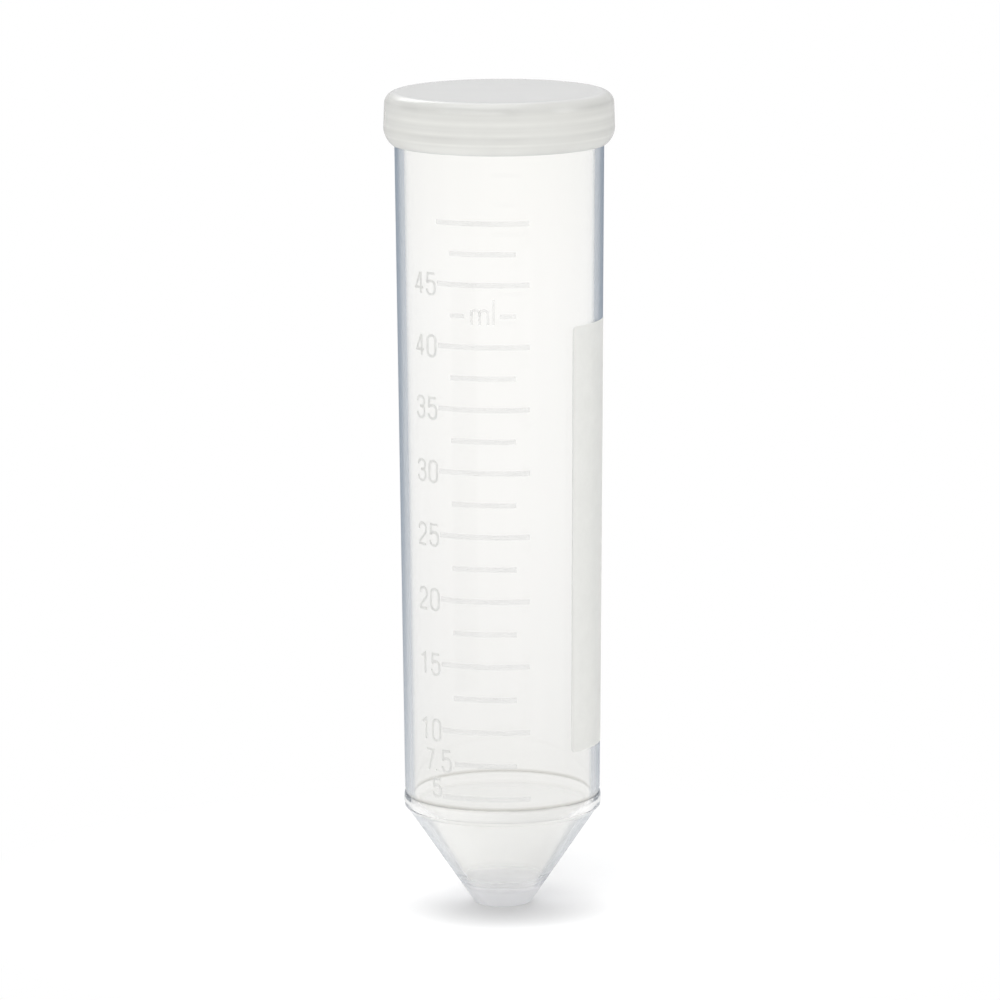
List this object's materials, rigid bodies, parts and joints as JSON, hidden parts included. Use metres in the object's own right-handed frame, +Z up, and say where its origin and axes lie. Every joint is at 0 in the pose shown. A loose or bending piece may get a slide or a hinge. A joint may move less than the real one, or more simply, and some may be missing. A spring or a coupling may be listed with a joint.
{
  "type": "50 ml conical tube",
  "caption": "Clear plastic conical tube with a collar above its cone, a flat tip to stand on, a printed volume scale and a low press-on cap.",
  "frame": {"origin": "centre of the flat of the tip, which the tube stands on", "axes": "+Z up along the tube's axis from the tip to the cap; -Y towards the printed scale's side"},
  "size_m": [0.0326, 0.0326, 0.117],
  "materials": {
    "clear_plastic": "clear moulded polypropylene, glossy, faintly hazy",
    "milky_plastic": "natural low-density polyethylene, milky, soft gloss",
    "grey_ink": "thin printed ink, matt",
    "white_ink": "thin printed ink, matt, takes a pencil"
  },
  "bodies": {
    "tube": {"tube": "clear_plastic"},
    "cap": {"cap": "milky_plastic"}
  },
  "joints": [
    {"name": "cap_lift", "type": "slide", "parent": "tube", "child": "cap", "axis": [0, 0, 1], "range_m": [0, 0.04]}
  ]
}
